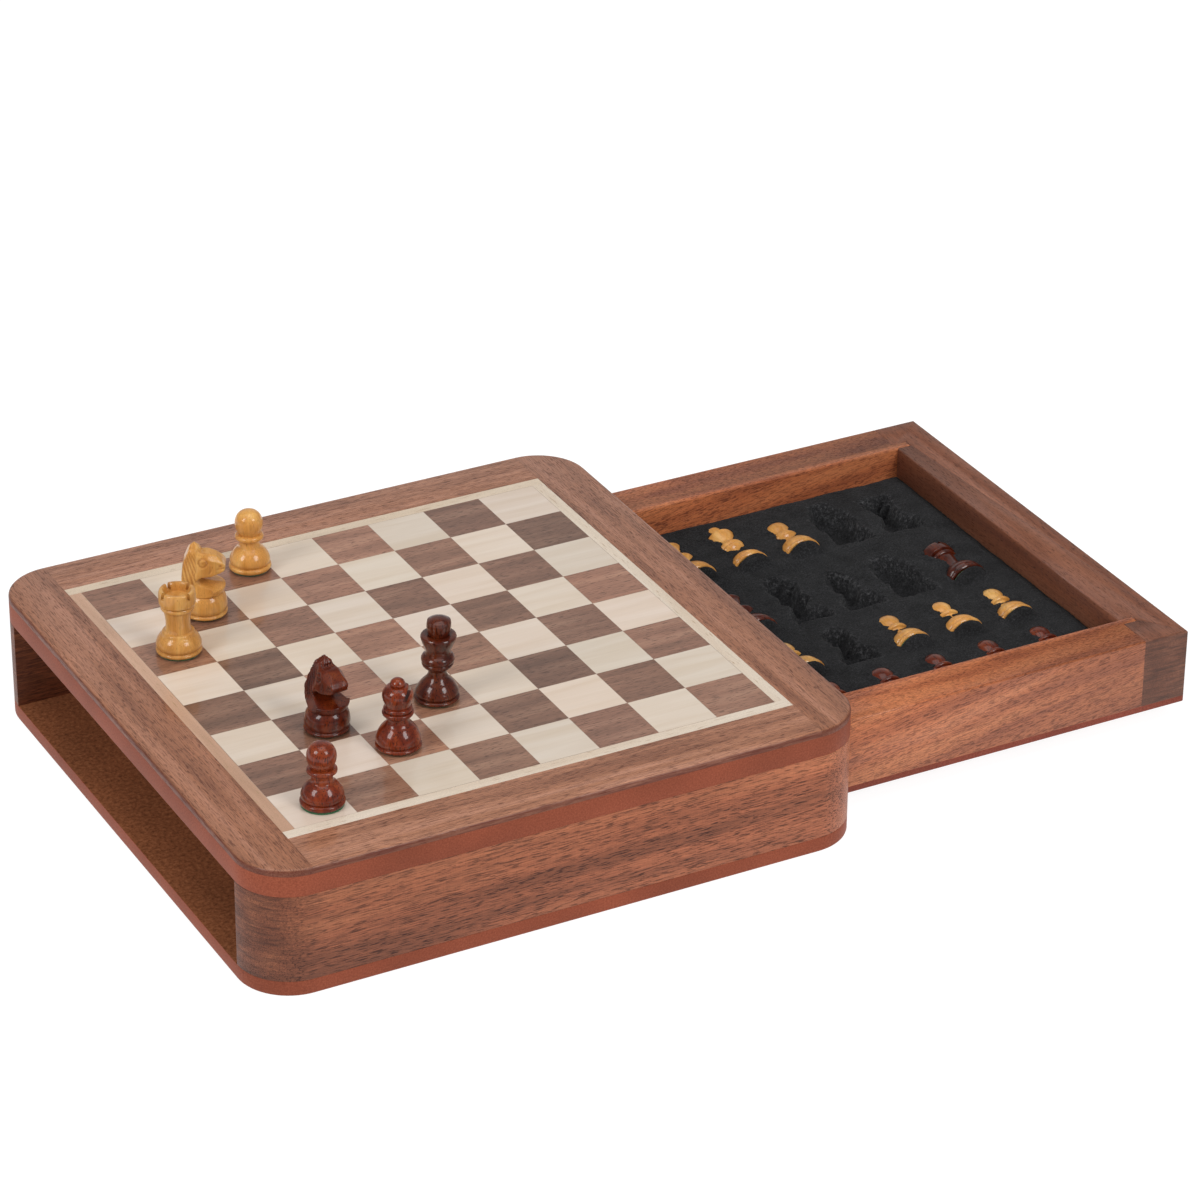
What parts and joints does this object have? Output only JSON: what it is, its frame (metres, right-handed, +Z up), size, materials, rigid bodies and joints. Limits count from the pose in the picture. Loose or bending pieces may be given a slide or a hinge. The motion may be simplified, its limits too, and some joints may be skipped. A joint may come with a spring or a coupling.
{
  "type": "travel chess set with board case",
  "caption": "Wooden travel chess set: a round-cornered board case with a sliding drawer, whose plush tray has a pocket for each magnetic piece",
  "frame": {"origin": "centre of the case's underside", "axes": "+X the way the drawer opens, +Y the far side, where the tray pieces' heads point, +Z up out of the board"},
  "size_m": [0.29, 0.178, 0.0623],
  "materials": {
    "stained_mdf": "red-brown stain under satin lacquer",
    "border_wood": "open-pored veneer under satin lacquer",
    "maple": "pale veneer under satin lacquer",
    "field_veneer": "chequered pale and brown veneer under satin lacquer",
    "sheet_steel": "mill finish, hidden",
    "drawer_wood": "solid wood under satin lacquer",
    "stained_ply": "thin stained panel",
    "plush": "charcoal flocked plush",
    "light_wood": "boxwood under gloss lacquer",
    "dark_wood": "red-brown stained wood under gloss lacquer",
    "felted_magnet": "green felt glued under a small magnet"
  },
  "bodies": {
    "case": {"case_bottom_panel": "stained_mdf", "case_wall_near": "border_wood", "case_wall_far": "border_wood", "case_top_core": "stained_mdf", "steel_sheet": "sheet_steel", "playing_field": "field_veneer", "maple_strip_near": "maple", "maple_strip_far": "maple", "maple_strip_left": "maple", "maple_strip_right": "maple", "border_strip_left": "border_wood", "border_strip_right": "border_wood", "border_strip_near": "border_wood", "border_strip_far": "border_wood"},
    "drawer": {"drawer_floor": "stained_ply", "drawer_rail_near": "drawer_wood", "drawer_rail_far": "drawer_wood", "drawer_end_right": "drawer_wood", "drawer_end_left": "drawer_wood", "piece_tray": "plush"},
    "light_rook_1": {"light_rook_1": "light_wood", "light_rook_1_magnet_and_felt": "felted_magnet"},
    "light_knight_1": {"light_knight_1": "light_wood", "light_knight_1_magnet_and_felt": "felted_magnet"},
    "light_bishop_1": {"light_bishop_1": "light_wood"},
    "light_king": {"light_king": "light_wood"},
    "light_queen": {"light_queen": "light_wood"},
    "light_bishop_2": {"light_bishop_2": "light_wood"},
    "light_knight_2": {"light_knight_2": "light_wood"},
    "light_rook_2": {"light_rook_2": "light_wood"},
    "dark_rook_1": {"dark_rook_1": "dark_wood"},
    "dark_knight_1": {"dark_knight_1": "dark_wood", "dark_knight_1_magnet_and_felt": "felted_magnet"},
    "dark_bishop_1": {"dark_bishop_1": "dark_wood", "dark_bishop_1_magnet_and_felt": "felted_magnet"},
    "dark_king": {"dark_king": "dark_wood", "dark_king_magnet_and_felt": "felted_magnet"},
    "dark_queen": {"dark_queen": "dark_wood"},
    "dark_bishop_2": {"dark_bishop_2": "dark_wood"},
    "dark_knight_2": {"dark_knight_2": "dark_wood"},
    "dark_rook_2": {"dark_rook_2": "dark_wood"},
    "light_pawn_1": {"light_pawn_1": "light_wood"},
    "light_pawn_2": {"light_pawn_2": "light_wood"},
    "light_pawn_3": {"light_pawn_3": "light_wood"},
    "light_pawn_4": {"light_pawn_4": "light_wood", "light_pawn_4_magnet_and_felt": "felted_magnet"},
    "light_pawn_5": {"light_pawn_5": "light_wood"},
    "light_pawn_6": {"light_pawn_6": "light_wood"},
    "light_pawn_7": {"light_pawn_7": "light_wood"},
    "light_pawn_8": {"light_pawn_8": "light_wood"},
    "dark_pawn_1": {"dark_pawn_1": "dark_wood"},
    "dark_pawn_2": {"dark_pawn_2": "dark_wood"},
    "dark_pawn_3": {"dark_pawn_3": "dark_wood"},
    "dark_pawn_4": {"dark_pawn_4": "dark_wood"},
    "dark_pawn_5": {"dark_pawn_5": "dark_wood"},
    "dark_pawn_6": {"dark_pawn_6": "dark_wood", "dark_pawn_6_magnet_and_felt": "felted_magnet"},
    "dark_pawn_7": {"dark_pawn_7": "dark_wood"},
    "dark_pawn_8": {"dark_pawn_8": "dark_wood"}
  },
  "joints": [
    {"name": "drawer_slide", "type": "slide", "parent": "case", "child": "drawer", "axis": [1, 0, 0], "range_m": [-0.112, 0.04]},
    {"name": "light_rook_1_lift", "type": "slide", "parent": "case", "child": "light_rook_1", "axis": [0, 0, 1], "range_m": [0, 0.04]},
    {"name": "light_knight_1_lift", "type": "slide", "parent": "case", "child": "light_knight_1", "axis": [0, 0, 1], "range_m": [0, 0.04]},
    {"name": "light_bishop_1_lift", "type": "slide", "parent": "drawer", "child": "light_bishop_1", "axis": [0, 0, 1], "range_m": [0, 0.03]},
    {"name": "light_king_lift", "type": "slide", "parent": "drawer", "child": "light_king", "axis": [0, 0, 1], "range_m": [0, 0.03]},
    {"name": "light_queen_lift", "type": "slide", "parent": "drawer", "child": "light_queen", "axis": [0, 0, 1], "range_m": [0, 0.03]},
    {"name": "light_bishop_2_lift", "type": "slide", "parent": "drawer", "child": "light_bishop_2", "axis": [0, 0, 1], "range_m": [0, 0.006]},
    {"name": "light_knight_2_lift", "type": "slide", "parent": "drawer", "child": "light_knight_2", "axis": [0, 0, 1], "range_m": [0, 0.006]},
    {"name": "light_rook_2_lift", "type": "slide", "parent": "drawer", "child": "light_rook_2", "axis": [0, 0, 1], "range_m": [0, 0.006]},
    {"name": "dark_rook_1_lift", "type": "slide", "parent": "drawer", "child": "dark_rook_1", "axis": [0, 0, 1], "range_m": [0, 0.03]},
    {"name": "dark_knight_1_lift", "type": "slide", "parent": "case", "child": "dark_knight_1", "axis": [0, 0, 1], "range_m": [0, 0.04]},
    {"name": "dark_bishop_1_lift", "type": "slide", "parent": "case", "child": "dark_bishop_1", "axis": [0, 0, 1], "range_m": [0, 0.04]},
    {"name": "dark_king_lift", "type": "slide", "parent": "case", "child": "dark_king", "axis": [0, 0, 1], "range_m": [0, 0.04]},
    {"name": "dark_queen_lift", "type": "slide", "parent": "drawer", "child": "dark_queen", "axis": [0, 0, 1], "range_m": [0, 0.03]},
    {"name": "dark_bishop_2_lift", "type": "slide", "parent": "drawer", "child": "dark_bishop_2", "axis": [0, 0, 1], "range_m": [0, 0.006]},
    {"name": "dark_knight_2_lift", "type": "slide", "parent": "drawer", "child": "dark_knight_2", "axis": [0, 0, 1], "range_m": [0, 0.006]},
    {"name": "dark_rook_2_lift", "type": "slide", "parent": "drawer", "child": "dark_rook_2", "axis": [0, 0, 1], "range_m": [0, 0.006]},
    {"name": "light_pawn_1_lift", "type": "slide", "parent": "drawer", "child": "light_pawn_1", "axis": [0, 0, 1], "range_m": [0, 0.03]},
    {"name": "light_pawn_2_lift", "type": "slide", "parent": "drawer", "child": "light_pawn_2", "axis": [0, 0, 1], "range_m": [0, 0.03]},
    {"name": "light_pawn_3_lift", "type": "slide", "parent": "drawer", "child": "light_pawn_3", "axis": [0, 0, 1], "range_m": [0, 0.03]},
    {"name": "light_pawn_4_lift", "type": "slide", "parent": "case", "child": "light_pawn_4", "axis": [0, 0, 1], "range_m": [0, 0.04]},
    {"name": "light_pawn_5_lift", "type": "slide", "parent": "drawer", "child": "light_pawn_5", "axis": [0, 0, 1], "range_m": [0, 0.03]},
    {"name": "light_pawn_6_lift", "type": "slide", "parent": "drawer", "child": "light_pawn_6", "axis": [0, 0, 1], "range_m": [0, 0.006]},
    {"name": "light_pawn_7_lift", "type": "slide", "parent": "drawer", "child": "light_pawn_7", "axis": [0, 0, 1], "range_m": [0, 0.006]},
    {"name": "light_pawn_8_lift", "type": "slide", "parent": "drawer", "child": "light_pawn_8", "axis": [0, 0, 1], "range_m": [0, 0.006]},
    {"name": "dark_pawn_1_lift", "type": "slide", "parent": "drawer", "child": "dark_pawn_1", "axis": [0, 0, 1], "range_m": [0, 0.03]},
    {"name": "dark_pawn_2_lift", "type": "slide", "parent": "drawer", "child": "dark_pawn_2", "axis": [0, 0, 1], "range_m": [0, 0.03]},
    {"name": "dark_pawn_3_lift", "type": "slide", "parent": "drawer", "child": "dark_pawn_3", "axis": [0, 0, 1], "range_m": [0, 0.03]},
    {"name": "dark_pawn_4_lift", "type": "slide", "parent": "drawer", "child": "dark_pawn_4", "axis": [0, 0, 1], "range_m": [0, 0.03]},
    {"name": "dark_pawn_5_lift", "type": "slide", "parent": "drawer", "child": "dark_pawn_5", "axis": [0, 0, 1], "range_m": [0, 0.03]},
    {"name": "dark_pawn_6_lift", "type": "slide", "parent": "case", "child": "dark_pawn_6", "axis": [0, 0, 1], "range_m": [0, 0.04]},
    {"name": "dark_pawn_7_lift", "type": "slide", "parent": "drawer", "child": "dark_pawn_7", "axis": [0, 0, 1], "range_m": [0, 0.006]},
    {"name": "dark_pawn_8_lift", "type": "slide", "parent": "drawer", "child": "dark_pawn_8", "axis": [0, 0, 1], "range_m": [0, 0.006]}
  ]
}
